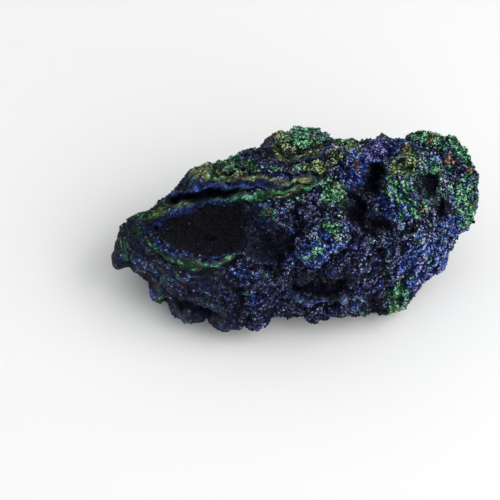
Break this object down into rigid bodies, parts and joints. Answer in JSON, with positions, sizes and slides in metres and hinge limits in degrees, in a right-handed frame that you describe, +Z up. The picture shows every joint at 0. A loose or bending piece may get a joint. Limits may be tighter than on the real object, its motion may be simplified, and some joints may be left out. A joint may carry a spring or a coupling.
{
  "type": "raw azurite malachite",
  "caption": "Rough azurite and malachite stone with stacked ledges, pits, knobs and a large crystal-lined hollow at one end.",
  "frame": {"origin": "middle of the stone's box, at the level of the surface that it rests on", "axes": "+X along the stone's length, from the pointed end with the hollow to the blunt end; +Z up; the open face looks towards -Y and up"},
  "size_m": [0.0908, 0.0468, 0.0383],
  "materials": {
    "azurite_malachite": "rough blue and green crystalline crust with a fine sparkle",
    "dark_azurite_crystals": "nearly black blue crystals, glossy faces"
  },
  "bodies": {
    "root": {"azurite_malachite_rock": "azurite_malachite", "hollow_crystal_crust": "dark_azurite_crystals"}
  },
  "joints": []
}
